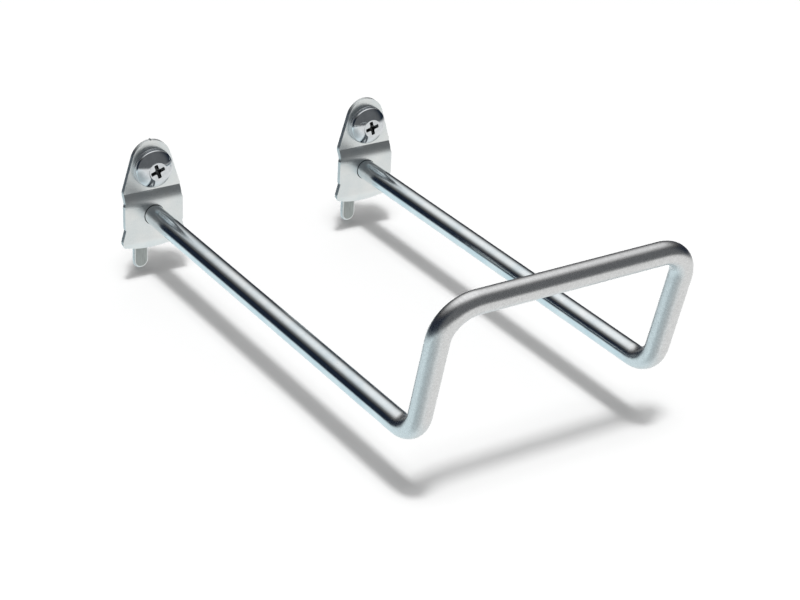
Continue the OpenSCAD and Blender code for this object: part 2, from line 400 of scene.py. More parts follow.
def rod_zinc_finish(colours):
    """Bright zinc over drawn rod: fine lines along it, duller where it was bent."""
    finish = Finish("rod_zinc", colours.rod_zinc, 0.17)
    along = finish.place("UV", (0.03, 2.2, 1))
    plain = finish.place("Object")
    lines = finish.noise(along, 1.0, 6, 0.62)
    clouds = finish.noise(plain, 0.11, 5, 0.6)
    grain = finish.noise(plain, 3.2, 3, 0.5)
    pits = sparse_pits(finish, plain, 1.1, 0.13)
    worked = finish.attribute("worked")

    haze = finish.mottle(clouds, colours.rod_zinc, colours.rod_haze)
    speckle = finish.ramp(finish.noise(plain, 1.7, 5, 0.75), 0, 1)
    dark_speckle = shade(colours.rod_worked, 0.87)
    pale_speckle = shade(colours.rod_worked, 1.10)
    satin = finish.blend(speckle, dark_speckle, pale_speckle)
    haze = finish.blend(worked, haze, satin)
    pit_colour = shade(colours.rod_haze, 0.35)
    finish.colour(finish.blend(pits, pit_colour, haze))

    bright = finish.ramp(lines, 0.13, 0.20)
    dull = finish.ramp(grain, 0.25, 0.34)
    finish.roughness(finish.add("Mix", Factor=worked, A=bright, B=dull).outputs[0])

    drawn = finish.bump(lines, 0.006 * MM)
    rippled = finish.bump(finish.noise(plain, 0.35, 2, 0.5), 0.02 * MM, 1, drawn)
    pitted = finish.bump(pits, 0.02 * MM, 1, rippled)
    satin_depth = finish.math("MULTIPLY", speckle, worked)
    finish.relief(finish.bump(satin_depth, 0.0012 * MM, 1, pitted))
    return finish.material


def plate_zinc_finish(colours):
    """Satin zinc over rolled sheet."""
    finish = Finish("plate_zinc", colours.plate_zinc, 0.33)
    plain = finish.place("Object")
    rolled = finish.place("Object", (3.2, 1, 0.25))
    clouds = finish.noise(plain, 0.16, 4, 0.6)
    grain = finish.noise(plain, 4.5, 4, 0.6)
    pits = sparse_pits(finish, plain, 1.4, 0.12)
    haze = finish.mottle(clouds, colours.plate_zinc, colours.plate_haze)
    pit_colour = shade(colours.plate_haze, 0.45)
    finish.colour(finish.blend(pits, pit_colour, haze))
    finish.roughness(finish.ramp(grain, 0.27, 0.38))
    lines = finish.bump(finish.noise(rolled, 1.0, 4, 0.6), 0.004 * MM)
    finish.relief(finish.bump(grain, 0.004 * MM, 1, lines))
    return finish.material


def tongue_shade_finish(colours):
    """Zinc on the coined faces of the tongue: a duller gloss, and a dark colour that
    paints the shade the plate casts over it.
    """
    finish = Finish("tongue_zinc_in_shade", colours.tongue_zinc_in_shade, 0.4)
    grain = finish.noise(finish.place("Object"), 2.0, 4, 0.6)
    streaks = finish.noise(finish.place("Object", (3, 1, 0.3)), 1.0, 4, 0.6)
    light = shade(colours.tongue_zinc_in_shade, 1.25)
    finish.colour(finish.mottle(streaks, colours.tongue_zinc_in_shade, light))
    finish.roughness(finish.ramp(grain, 0.34, 0.46))
    finish.relief(finish.bump(grain, 0.01 * MM))
    return finish.material


def sheared_edge_finish(colours):
    """Cut edge of the sheet: zinc over the shear's fine ribs."""
    finish = Finish("sheared_edge", colours.plate_zinc, 0.25)
    plain = finish.place("Object")
    across = finish.place("Object", (4, 0.35, 4))
    ribs = finish.noise(across, 1.0, 4, 0.6)
    dim = shade(colours.plate_haze, 0.86)
    finish.colour(finish.mottle(ribs, dim, colours.plate_zinc))
    finish.roughness(finish.ramp(finish.noise(plain, 2.5), 0.38, 0.5))
    finish.relief(finish.bump(ribs, 0.012 * MM))
    return finish.material


def turned_finish(name, colour, roughness, ring_depth):
    """Plating over a turned or stamped round piece, with faint rings."""
    finish = Finish(name, colour, roughness)
    plain = finish.place("Object")
    parts = finish.add("SeparateXYZ", Vector=plain)
    across = finish.math("POWER", parts.outputs["X"], 2)
    upward = finish.math("POWER", parts.outputs["Z"], 2)
    radius = finish.math("SQRT", finish.math("ADD", across, upward), 0)
    spread = finish.add("CombineXYZ", X=radius, Y=parts.outputs["Y"])
    rings = finish.noise(spread.outputs["Vector"], 3.0, 4, 0.6)
    clouds = finish.noise(plain, 0.5, 4, 0.6)
    finish.colour(finish.mottle(clouds, colour, shade(colour, 0.86)))
    finish.roughness(finish.ramp(rings, roughness * 0.8, roughness * 1.3))
    ringed = finish.bump(rings, ring_depth)
    finish.relief(finish.bump(finish.noise(plain, 0.7, 2), 0.012 * MM, 1, ringed))
    return finish.material


def recess_shade_finish(colours):
    """Inside of the punched cross recess: a duller gloss, and a colour far darker than the
    head's that paints the shade in the recess.
    """
    dark = shade(colours.screw_zinc, 0.22)
    finish = Finish("recess_painted_shade", dark, 0.42)
    grain = finish.noise(finish.place("Object"), 3.0)
    finish.colour(finish.mottle(grain, dark, shade(dark, 0.6)))
    finish.roughness(finish.ramp(grain, 0.35, 0.5))
    finish.relief(finish.bump(grain, 0.02 * MM))
    return finish.material


def floor_finish(colours):
    """Matt pale paper."""
    finish = Finish("pale_paper", colours.floor, 0.9, 0)
    finish.shader.inputs["Specular IOR Level"].default_value = 0
    fibres = finish.noise(finish.place("Object"), 1.5, 3)
    finish.relief(finish.bump(fibres, 0.01 * MM, 0.2))
    return finish.material


def dome_finish(softbox):
    """Glow of the reflected surround, by direction from the hook.

    A white softbox hangs overhead, leaning over the board side. Below it the
    room is dark, and the bottom is a pale floor, cooler on the left and behind.
    """
    finish = Finish("surround_dome", GROUND_TONES[0][1], 1)
    finish.nodes.remove(finish.shader)
    outward = finish.add("TexCoord").outputs["Object"]
    look = finish.add("VectorMath", Vector=outward)
    look.operation = "NORMALIZE"

    def along(direction):
        """How far the view points along a direction."""
        made = finish.add("VectorMath", Vector=look.outputs["Vector"])
        made.operation = "DOT_PRODUCT"
        made.inputs[1].default_value = Vector(direction).normalized()
        return made.outputs["Value"]

    def tones(value, stops):
        made = finish.add("ValToRGB", Fac=value)
        points = made.color_ramp.elements
        for _ in stops[2:]:
            points.new(0.5)
        for point, (place, glow) in zip(points, stops):
            colour = glow if isinstance(glow, tuple) else (glow, glow, glow)
            point.position, point.color = place, (*colour, 1)
        return made.outputs["Color"]

    def step(value, low, high):
        made = finish.add("MapRange", Value=value, From_Min=low, From_Max=high)
        made.interpolation_type = "SMOOTHSTEP"
        return made.outputs["Result"]

    room = tones(step(along(BACKWARDS), -0.6, 0.05), ROOM_TONES)
    upper = finish.blend(1, tones(along(softbox), SOFTBOX_FALL), room, "LIGHTEN")
    ground = tones(along(COOL_SIDE), GROUND_TONES)
    lower = finish.blend(1, ground, tones(along(DIM_SIDE), GROUND_DIP), "MULTIPLY")
    all_round = finish.blend(step(along(BELOW), 0.10, 0.30), upper, lower)
    glow = finish.add("Emission", Color=all_round)
    output = finish.nodes["Material Output"]
    finish.links.new(glow.outputs["Emission"], output.inputs["Surface"])
    return finish.material


# ---- Mesh helpers ----


def finished(name, work, materials, place=None):
    """Turns a bmesh into a smooth-shaded object in the scene."""
    mesh = bpy.data.meshes.new(name)
    bmesh.ops.recalc_face_normals(work, faces=work.faces)
    work.to_mesh(mesh)
    work.free()
    for material in materials:
        mesh.materials.append(material)
    mesh.polygons.foreach_set("use_smooth", [True] * len(mesh.polygons))
    made = bpy.data.objects.new(name, mesh)
    if place is not None:
        made.location = place
    bpy.context.scene.collection.objects.link(made)
    return made


def round_marked(piece, width, finish, segments=4):
    """Rounds the edges marked by a weight and gives the rounding that finish."""
    bevel = piece.modifiers.new("marked edges", "BEVEL")
    bevel.width, bevel.segments = width, segments
    bevel.limit_method, bevel.use_clamp_overlap = "WEIGHT", False
    bevel.material = finish


def break_edges(piece, width, segments=3, degrees=40):
    """Rounds the sharp edges and keeps the flats shaded flat."""
    bevel = piece.modifiers.new("edge break", "BEVEL")
    bevel.width, bevel.segments = width, segments
    bevel.limit_method, bevel.use_clamp_overlap = "ANGLE", True
    bevel.angle_limit = math.radians(degrees)
    bevel.miter_outer = "MITER_ARC"
    flats = piece.modifiers.new("flats", "WEIGHTED_NORMAL")
    flats.keep_sharp = False
    flats.weight = 80


def joins(piece, node, body):
    """The piece stands for a node of the frame and moves with its body."""
    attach(piece, body)
    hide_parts(node)


def round_steps(count):
    """The angles of that many equal steps round a circle."""
    return [2 * math.pi * k / count for k in range(count)]


def bridge(work, first, second):
    """Fills the band between two rings."""
    for j in range(len(first)):
        n = (j + 1) % len(first)
        work.faces.new((first[j], second[j], second[n], first[n]))


def revolve(profile):
    """Turns a profile of (radius, height) points about +Z into a mesh."""
    work = bmesh.new()
    rings = []
    for radius, height in profile:
        if radius < 1e-7:
            rings.append([work.verts.new((0, 0, height))] * TURNS)
            continue
        places = [
            (radius * math.cos(a), radius * math.sin(a), height)
            for a in round_steps(TURNS)
        ]
        rings.append([work.verts.new(place) for place in places])
    closed = rings + (rings[:1] if profile[0] == profile[-1] else [])
    for first, second in zip(closed, closed[1:]):
        for k in range(TURNS):
            corners = [first[k], first[k - 1], second[k - 1], second[k]]
            corners = list(dict.fromkeys(corners))
            if len(corners) > 2:
                work.faces.new(corners)
    return work


def arc(centre, radius, start, end, steps):
    """Points along an arc, angles in degrees."""
    turns = [math.radians(start + (end - start) * k / steps) for k in range(steps + 1)]
    return [
        (centre[0] + radius * math.cos(a), centre[1] + radius * math.sin(a))
        for a in turns
    ]


# ---- Rod loop ----


class Station:
    """One place along the rod's centre line."""

    def __init__(self, place, run, curl=0.0, axis=None):
        self.place = place
        self.run = run
        self.curl = curl
        self.axis = axis


def rounded_line(corners, radius, step):
    """Stations along straight runs joined by bends of that radius."""
    stations = [Station(corners[0], 0.0)]

    def walk_to(target, curl=0.0, axis=None):
        start = stations[-1]
        gap = (target - start.place).length
        count = max(1, math.ceil(gap / step))
        for k in range(1, count + 1):
            place = start.place.lerp(target, k / count)
            stations.append(Station(place, start.run + gap * k / count, curl, axis))

    for before, corner, after in zip(corners, corners[1:], corners[2:]):
        come = (corner - before).normalized()
        leave = (after - corner).normalized()
        turn = come.angle(leave)
        axis = come.cross(leave).normalized()
        setback = radius * math.tan(turn / 2)
        start = corner - come * setback
        centre = start + axis.cross(come) * radius
        walk_to(start)
        steps = math.ceil(turn * radius / (step / 2))
        for k in range(1, steps + 1):
            part = k / steps
            spin = Matrix.Rotation(turn * part, 3, axis)
            place = centre + spin @ (start - centre)
            curl = math.sin(math.pi * part) ** 0.5
            run = stations[-1].run + turn * radius / steps
            stations.append(Station(place, run, curl, axis))
    walk_to(corners[-1])
    return stations


def centre_line(rod):
    """Corners of the rod's centre line, from the left plate to the right one."""
    low, high = ROD_BOX
    radius = rod.rod_d / 2
    left, right = low.x + rod.head_d / 2, high.x - rod.head_d / 2
    leg_z = -rod.rod_drop
    bar_y, bar_z = low.y + radius, high.z - radius
    heel_y = bar_y + (bar_z - leg_z) * math.tan(rod.upturn_lean)
    side = [(-rod.pad_back, leg_z), (heel_y, leg_z), (bar_y, bar_z)]
    return [Vector((left, y, z)) for y, z in side] + [
        Vector((right, y, z)) for y, z in reversed(side)
    ]


def staked_ends(rod, stations):
    """Radius of the rod at each station, with the flat head at both ends."""
    head, thick = rod.head_d / 2, rod.head_t
    chamfer = thick / 3
    profile = [
        (-thick, 0.0),
        (-thick * 0.96, head * 0.5),
        (-thick, head - chamfer * 1.4),
        (-thick + chamfer * 0.4, head - chamfer * 0.4),
        (-thick + chamfer, head),
        (-chamfer * 0.3, head),
        (0.0, head - chamfer * 0.3),
        (0.0, rod.rod_d / 2),
    ]
    first, last = stations[0], stations[-1]
    inward = (stations[1].place - first.place).normalized()
    outward = (last.place - stations[-2].place).normalized()
    start = [
        (Station(first.place + inward * t, first.run + t), r) for t, r in profile
    ]
    end = [(Station(last.place - outward * t, last.run - t), r) for t, r in profile]
    body = [(s, rod.rod_d / 2) for s in stations[1:-1]]
    return start + body + end[::-1]


def smooth_step(value, low, high):
    part = min(1.0, max(0.0, (value - low) / (high - low)))
    return part * part * (3 - 2 * part)


def rod_mesh(rod, around=64):
    """Sweeps the round section along the centre line.

    A bend flattens the section a little, and the inside of the two lower bends
    keeps the ripple that the bending die left. The "worked" attribute is 1
    where the rod has been bent and handled, and 0 along the drawn legs.
    """
    corners = centre_line(rod)
    stations = rounded_line(corners, rod.bend_r, ROD_STEP)
    rings = staked_ends(rod, stations)
    # Rings of the flat head at each end
    head_rings = (len(rings) - len(stations)) // 2 + 1
    total = stations[-1].run
    leg = (corners[1] - corners[0]).length
    work = bmesh.new()
    uv = work.loops.layers.uv.new("UVMap")
    worked = work.verts.layers.float.new("worked")
    side_axis = Vector((1, 0, 0))
    previous = (stations[1].place - stations[0].place).normalized()
    made = []
    for k, (station, radius) in enumerate(rings):
        after = rings[min(k + 1, len(rings) - 1)][0].place
        before = rings[max(k - 1, 0)][0].place
        along = after - before
        along = along.normalized() if along.length > 1e-9 else previous
        if head_rings <= k < len(rings) - head_rings:
            side_axis = previous.rotation_difference(along) @ side_axis
            previous = along
        side_axis = (side_axis - along * side_axis.dot(along)).normalized()
        lift = along.cross(side_axis)
        run = min(station.run, total - station.run)
        handled = smooth_step(run, *(leg - short for short in WORKED_ZONE))
        ring = []
        for turn in round_steps(around):
            out = side_axis * math.cos(turn) + lift * math.sin(turn)
            reach = radius
            if station.axis is not None:
                inward = station.axis.cross(along)
                facing = out.dot(inward)
                reach *= 1 - rod.bend_flat * station.curl * facing * facing
                if run < leg:
                    ripple = math.sin((run - leg) / RIPPLE_PITCH) * max(0, facing) ** 3
                    reach -= rod.wrinkle * station.curl * (0.5 + 0.5 * ripple)
            vert = work.verts.new(station.place + out * reach)
            vert[worked] = handled
            ring.append(vert)
        made.append((ring, station.run))
    around_length = math.pi * rod.rod_d
    for (first, run_a), (second, run_b) in zip(made, made[1:]):
        for j in range(around):
            n = (j + 1) % around
            face = work.faces.new((first[j], first[n], second[n], second[j]))
            places = ((run_a, j), (run_a, j + 1), (run_b, j + 1), (run_b, j))
            for loop, (run, step) in zip(face.loops, places):
                loop[uv].uv = (run, around_length * step / around)
    bmesh.ops.remove_doubles(work, verts=work.verts, dist=1e-8)
    return work


class PEGHOOK_OT_rod_loop(bpy.types.Operator):
    """Builds the bent rod with its two staked ends"""

    bl_idname = "peghook.rod_loop"
    bl_label = "Build Rod Loop"

    def execute(self, context):
        scene = context.scene
        finish = rod_zinc_finish(scene.peg_colour)
        piece = finished("bent_rod", rod_mesh(scene.peg_rod), [finish])
        joins(piece, "rod_loop", "hook")
        return {"FINISHED"}


# ---- Back plates ----


def ahead(heading):
    """The (y, z) step of one metre along a heading."""
    return Vector((math.cos(heading), math.sin(heading)))


def to_left(heading):
    return Vector((-math.sin(heading), math.cos(heading)))


class Strip:
    """Side view of a folded sheet: straight runs joined by round bends.

    It starts at a corner, runs along a heading in the (y, z) plane, and each
    step is (length between corners, turn, inside radius). A positive turn is
    towards +Y.
    """

    def __init__(self, start, heading, steps, sheet_t):
        self.pieces = []
        place, trim_in, run = Vector(start), 0.0, 0.0
        for corner_length, turn, inside_r in steps:
            mid_r = inside_r + sheet_t / 2
            trim_out = mid_r * math.tan(abs(turn) / 2)
            straight = corner_length - trim_in - trim_out
            self.pieces.append((run, run + straight, place.copy(), heading, 0.0, 0.0))
            place += ahead(heading) * straight
            run += straight
            if turn:
                bend = abs(turn) * mid_r
                piece = (run, run + bend, place.copy(), heading, turn, mid_r)
                self.pieces.append(piece)
                place, heading = self.around(place, heading, turn, mid_r, 1.0)
                run += bend
            trim_in = trim_out
        self.length = run

    def around(self, place, heading, turn, mid_r, part):
        side = 1 if turn > 0 else -1
        centre = place + to_left(heading) * side * mid_r
        spin = Matrix.Rotation(turn * part, 2)
        return centre + spin @ (place - centre), heading + turn * part

    def at(self, run, lift):
        """The (y, z) place of a point at that run, lift above the middle."""
        for start, end, place, heading, turn, mid_r in self.pieces:
            if run <= end or end == self.length:
                break
        if turn:
            part = (run - start) / (end - start)
            place, heading = self.around(place, heading, turn, mid_r, part)
        else:
            place = place + ahead(heading) * (run - start)
        return place + to_left(heading) * lift

    def cuts(self, step):
        """Runs at which the flat sheet is cut so that it can bend."""
        places = []
        for start, end, _, _, turn, _ in self.pieces:
            if turn:
                count = max(4, math.ceil((end - start) / step))
                places += [start + (end - start) * k / count for k in range(count + 1)]
        return places


def plate_strip(plate):
    """The plate's side view, from its top down."""
    joggle_turn = math.atan2(plate.joggle_depth, plate.joggle_h)
    joggle_run = plate.joggle_depth / math.sin(joggle_turn)
    joggle_shift = plate.sheet_t / 2 * math.tan(joggle_turn / 2)
    foot_shift = plate.sheet_t / 2 * math.tan(plate.foot_angle / 2)
    pad_run = plate.foot_bend_drop - plate.joggle_drop - plate.joggle_h
    foot_run = plate.foot_drop + plate.sheet_t - plate.foot_bend_drop
    flange_run = plate.crown_rise + plate.joggle_drop - joggle_shift
    steps = [
        (flange_run, -joggle_turn, plate.crease_r),
        (joggle_run, joggle_turn, plate.sweep_r),
        (pad_run + joggle_shift + foot_shift, plate.foot_angle, plate.fold_r),
        (foot_run / math.cos(plate.foot_angle), 0.0, 0.0),
    ]
    start = (-plate.sheet_t / 2, plate.crown_rise)
    return Strip(start, -math.pi / 2, steps, plate.sheet_t)


def tongue_strip(plate):
    """The tongue's side view, from the middle of the foot to its round end."""
    foot_shift = plate.sheet_t / 2 * math.tan(plate.foot_angle / 2)
    start_drop = plate.foot_bend_drop - foot_shift
    slope = (plate.tongue_drop - start_drop) / math.cos(plate.foot_angle)
    middle_y = -plate.joggle_depth - plate.sheet_t / 2
    root_y = middle_y + slope * math.sin(plate.foot_angle)
    through = plate.board_t + plate.sheet_t / 2 - root_y
    steps = [
        (slope, math.pi / 2 - plate.foot_angle, plate.fold_r),
        (through, -math.pi / 2, plate.fold_r),
        (plate.tongue_len, 0.0, 0.0),
    ]
    heading = plate.foot_angle - math.pi / 2
    start = (middle_y, -start_drop)
    return Strip(start, heading, steps, plate.sheet_t)


def plate_half_width(plate, drop):
    """Half the plate's width at a drop below the screw's axis."""
    crown_z = plate.crown_rise - plate.crown_r
    half_flange, half_foot = plate.flange_w / 2, plate.foot_w / 2
    to_shoulder = math.hypot(half_flange, crown_z + plate.shoulder_drop)
    taper = (
        math.asin(plate.crown_r / to_shoulder)
        + math.atan2(crown_z + plate.shoulder_drop, half_flange)
        - math.pi / 2
    )
    touch_x = plate.crown_r * math.cos(taper)
    touch_drop = plate.crown_r * math.sin(taper) - crown_z
    height = -drop - crown_z
    if drop < touch_drop:
        return math.sqrt(max(0.0, plate.crown_r**2 - height**2))
    if drop < plate.shoulder_drop:
        part = (drop - touch_drop) / (plate.shoulder_drop - touch_drop)
        return touch_x + (half_flange - touch_x) * part
    half_pad = plate.pad_w / 2
    if drop < plate.flare_drop:
        pad_top = plate.joggle_drop + plate.joggle_h
        into = smooth_step(drop, *(pad_top + below for below in PAD_STEP))
        return half_flange + (half_pad - half_flange) * into
    flare_end = plate.foot_bend_drop - plate.foot_corner_r / 2
    flare = (drop - plate.flare_drop) / (flare_end - plate.flare_drop)
    return half_flange + (half_foot - half_flange) * min(1.0, flare)


def plate_outline(plate, strip, burr):
    """The flat sheet's outline as (x, run) points."""
    samples = 96
    foot_top = strip.pieces[-1][0]
    half = []
    for k in range(samples + 1):
        # Closer together near the round top
        part = k / samples
        run = foot_top * (part * part if part < 0.5 else part - 0.25) / 0.75
        drop = -strip.at(run, 0).y
        half.append((plate_half_width(plate, drop), run if k else -burr))
    # Foot: round corners and a lower edge of one radius
    edge_r = plate.foot_edge_r
    corner_w, corner_h = plate.foot_corner_r, plate.foot_corner_r * 0.9
    centre = plate.foot_w / 2 - corner_w

    def edge_drop(x):
        return plate.foot_drop - edge_r + math.sqrt(edge_r**2 - x**2)

    def run_of(drop):
        lowest = -strip.at(foot_top, 0).y
        return foot_top + (drop - lowest) / math.cos(plate.foot_angle)

    side_end = edge_drop(centre) - corner_h
    if run_of(side_end) > foot_top:
        half.append((plate.foot_w / 2, run_of(side_end)))
    for degrees in range(0, 91, 15):
        a = math.radians(degrees)
        low = side_end + corner_h * math.sin(a)
        half.append((centre + corner_w * math.cos(a), run_of(low)))
    for k in range(1, 13):
        x = centre * (1 - k / 12)
        half.append((x, run_of(edge_drop(x))))
    return half + [(-x, run) for x, run in reversed(half[1:-1])]


def hole_ring(x, run, radius, count=48):
    return [
        (x + radius * math.cos(a), run + radius * math.sin(a))
        for a in round_steps(count)
    ]


def folded_sheet(work, strip, sheet_t, outline, holes, mark=0.0, face_finish=FACE):
    """Cuts a flat sheet to its outline, folds it along the strip and adds it.

    mark is the weight of its cut edges, for rounding the marked ones.
    """
    flat = bmesh.new()
    weight = work.edges.layers.float.get("bevel_weight_edge")

    def closed_line(points):
        verts = [flat.verts.new((x, run, 0)) for x, run in points]
        return [flat.edges.new(pair) for pair in zip(verts, verts[1:] + verts[:1])]

    edges = closed_line(outline)
    for hole in holes:
        edges += closed_line(hole)
    bmesh.ops.triangle_fill(flat, edges=edges, use_beauty=True, use_dissolve=False)
    bmesh.ops.dissolve_limit(
        flat,
        angle_limit=math.radians(1),
        verts=flat.verts,
        edges=flat.edges,
        use_dissolve_boundaries=False,
    )
    for run in strip.cuts(FOLD_STEP):
        bmesh.ops.bisect_plane(
            flat,
            geom=flat.verts[:] + flat.edges[:] + flat.faces[:],
            dist=1e-7,
            plane_co=(0, run, 0),
            plane_no=(0, 1, 0),
        )
    bmesh.ops.remove_doubles(flat, verts=flat.verts, dist=2e-6)
    walls = [e for e in flat.edges if len(e.link_faces) == 1]
    sheet = {}
    for lift in (sheet_t / 2, -sheet_t / 2):
        sheet[lift] = {}
        for vert in flat.verts:
            place = strip.at(vert.co.y, -lift)
            sheet[lift][vert] = work.verts.new((vert.co.x, place.x, place.y))
    for lift, verts in sheet.items():
        for face in flat.faces:
            corners = [verts[v] for v in face.verts]
            side = work.faces.new(corners if lift > 0 else corners[::-1])
            side.material_index = face_finish
    front, back = sheet.values()
    for edge in walls:
        a, b = edge.verts
        wall = work.faces.new((front[a], front[b], back[b], back[a]))
        wall.material_index = CUT_EDGE
        for level in (front, back):
            rim = work.edges.get((level[a], level[b]))
            rim[weight] = mark
    flat.free()


def plate_mesh(plate, rod, burr):
    """One plate in its own frame, with the screw's axis at x = 0, z = 0."""
    work = bmesh.new()
    work.edges.layers.float.new("bevel_weight_edge")
    strip = plate_strip(plate)
    outline = plate_outline(plate, strip, burr)
    holes = [
        hole_ring(0, plate.crown_rise, plate.screw_hole_d / 2),
        hole_ring(0, run_at_drop(strip, rod.rod_drop), plate.rod_hole_d / 2),
    ]
    folded_sheet(work, strip, plate.sheet_t, outline, holes)

    tongue = tongue_strip(plate)
    half = plate.tongue_w / 2
    tip = tongue.length - half
    root = 0.4 * MM
    round_end = arc((0, tip), half, 0, 180, 16)
    outline = [(-half, root), (half, root), *round_end]
    folded_sheet(work, tongue, plate.sheet_t, outline, [], 1.0, TONGUE)
    return work


def run_at_drop(strip, drop):
    """The run along a strip's middle at which it is that far below the screw."""
    low, high = 0.0, strip.length
    for _ in range(40):
        middle = (low + high) / 2
        if -strip.at(middle, 0).y < drop:
            low = middle
        else:
            high = middle
    return low


class PEGHOOK_OT_back_plates(bpy.types.Operator):
    """Builds the two stamped plates with their tongues"""

    bl_idname = "peghook.back_plates"
    bl_label = "Build Back Plates"

    def execute(self, context):
        scene = context.scene
        plate = scene.peg_plate
        finishes = [
            plate_zinc_finish(scene.peg_colour),
            sheared_edge_finish(scene.peg_colour),
            # The tongues' finish carries painted shade in its dark colour.
            tongue_shade_finish(scene.peg_colour),
        ]
        for side in SIDES:
            burr = plate.burr if side == "left" else 0.0
            work = plate_mesh(plate, scene.peg_rod, burr)
            piece = finished(f"{side}_back_plate", work, finishes, screw_axis(side))
            round_marked(piece, plate.tongue_edge_r, CUT_EDGE)
            break_edges(piece, plate.edge_r)
            joins(piece, f"{side}_plate", "hook")
        return {"FINISHED"}


# ---- Washers and screws ----


def washer_mesh(fastener):
    """A stamped washer about +Z: rolled over on its front, sharp behind."""
    low, high = WASHER_BOX
    outer, bore = (high.x - low.x) / 2, fastener.washer_bore_d / 2
    back, front = -high.y, -low.y
    soft, crisp = 0.28 * MM, 0.08 * MM
    profile = (
        arc((bore + soft, front - soft), soft, 180, 90, 6)
        + arc((outer - soft, front - soft), soft, 90, 0, 6)
        + arc((outer - crisp, back + crisp), crisp, 0, -90, 3)
        + arc((bore + crisp, back + crisp), crisp, 270, 180, 3)
    )
    return revolve(profile + profile[:1])


def head_profile(fastener):
    """Truss head about +Z from its seat up: (radius, height) points."""
    seat = -WASHER_BOX[0].y + SEAT_GAP
    top = -SCREW_BOX[0].y
    outer = fastener.head_d / 2
    dome_h = top - seat - fastener.rim_h
    dome_r = (outer**2 + dome_h**2) / (2 * dome_h)
    centre = top - dome_r
    rim = 0.16 * MM
    reach = math.asin((outer - rim * 0.6) / dome_r)
    # The punch that makes the recess presses the middle almost flat
    flat = centre + math.sqrt(dome_r**2 - fastener.punched_r**2)
    dome = []
    for k in range(29):
        radius = dome_r * math.sin(reach * (1 - k / 28))
        height = centre + math.sqrt(dome_r**2 - radius**2)
        dome.append((radius, min(height, flat + (height - flat) * 0.12)))
    under = arc((outer - rim, seat + rim), rim, -90, 0, 4)
    return [(fastener.neck_d / 2, seat), *under, (outer, dome[0][1] - rim), *dome]


def shank_profile_radius(fastener, depth, turn):
    """Radius of the shank at a depth behind the board's face and a turn."""
    full = fastener.thread_d / 2
    root = full - fastener.thread_depth
    end = SCREW_BOX[1].y
    wave = (depth / fastener.pitch - turn / (2 * math.pi)) % 1.0
    ridge = max(0.0, 1 - abs(wave - 0.5) / 0.5 * 1.18)
    grow = smooth_step(depth, -0.2 * MM, 1.2 * MM)
    radius = root + (full - root) * min(1.0, ridge * 1.25) * grow
    plain = fastener.neck_d / 2
    radius += (plain - root) * (1 - smooth_step(depth, -0.3 * MM, 0.5 * MM))
    radius = min(radius, full)
    into_point = (end - depth) / fastener.point_len
    return radius * min(1.0, max(0.03, into_point * 0.92 + 0.08))


def screw_mesh(fastener):
    """The screw about +Z, its head towards +Z and its point behind the board."""
    work = revolve(head_profile(fastener))
    seat = -WASHER_BOX[0].y + SEAT_GAP
    end = SCREW_BOX[1].y
    levels = 130
    rings = []
    for k in range(levels + 1):
        depth = -seat + (end + seat) * k / levels
        ring = []
        for turn in round_steps(TURNS):
            radius = shank_profile_radius(fastener, depth, turn)
            place = (radius * math.cos(turn), radius * math.sin(turn), -depth)
            ring.append(work.verts.new(place))
        rings.append(ring)
    for first, second in zip(rings, rings[1:]):
        bridge(work, first, second)
    work.faces.new(rings[-1])
    bmesh.ops.remove_doubles(work, verts=work.verts, dist=1e-7)
    return work


def recess_cutter(fastener, top, turn):
    """A cross with wings that narrow towards the bottom of the recess."""
    work = bmesh.new()
    mouth, floor = top + 0.8 * MM, top - fastener.cross_depth
    half_w, half_l = fastener.wing_w / 2, fastener.cross_w / 2
    fillet = 0.4 * MM
    pressed = top - 0.5 * MM
    # (height, half length, half width, fillet) of the cross at four levels
    levels = [
        (mouth, half_l + 0.12 * MM, half_w + 0.12 * MM, fillet),
        (pressed, half_l, half_w + 0.06 * MM, fillet),
        (top - fastener.cross_depth * 0.65, half_l * 0.72, half_w * 0.8, fillet * 0.8),
        (floor, half_w * 1.1, half_w * 0.55, fillet * 0.3),
    ]
    rings = []
    for height, reach, wide, inner in levels:
        ring = []
        for quarter in range(4):
            spin = Matrix.Rotation(turn + quarter * math.pi / 2, 3, "Z")
            corner = wide + inner
            inside = [
                (corner - inner * math.sin(a), corner - inner * math.cos(a))
                for a in (math.radians(d) for d in (0, 22.5, 45, 67.5, 90))
            ]
            tip = [(reach - wide * 0.3, -wide), (reach, -wide * 0.6)]
            tip += [(reach, wide * 0.6), (reach - wide * 0.3, wide)]
            for x, y in tip + inside:
                ring.append(work.verts.new(spin @ Vector((x, y, height))))
        rings.append(ring)
    for first, second in zip(rings, rings[1:]):
        bridge(work, first, second)
    work.faces.new(rings[0][::-1])
    work.faces.new(rings[-1])
    return work


def lay_forward(work):
    """Turns a mesh about +Z to face out of the board."""
    bmesh.ops.rotate(
        work,
        verts=work.verts,
        cent=(0, 0, 0),
        matrix=Matrix.Rotation(math.pi / 2, 3, "X"),
    )
    return work


class PEGHOOK_OT_washers(bpy.types.Operator):
    """Builds the two flat washers"""

    bl_idname = "peghook.washers"
    bl_label = "Build Washers"

    def execute(self, context):
        scene = context.scene
        zinc = scene.peg_colour.washer_zinc
        finish = turned_finish("washer_zinc", zinc, 0.22, 0.01 * MM)
        for side in SIDES:
            work = lay_forward(washer_mesh(scene.peg_fastener))
            piece = finished(f"{side}_flat_washer", work, [finish], screw_axis(side))
            joins(piece, f"{side}_washer", f"{side}_washer")
        return {"FINISHED"}


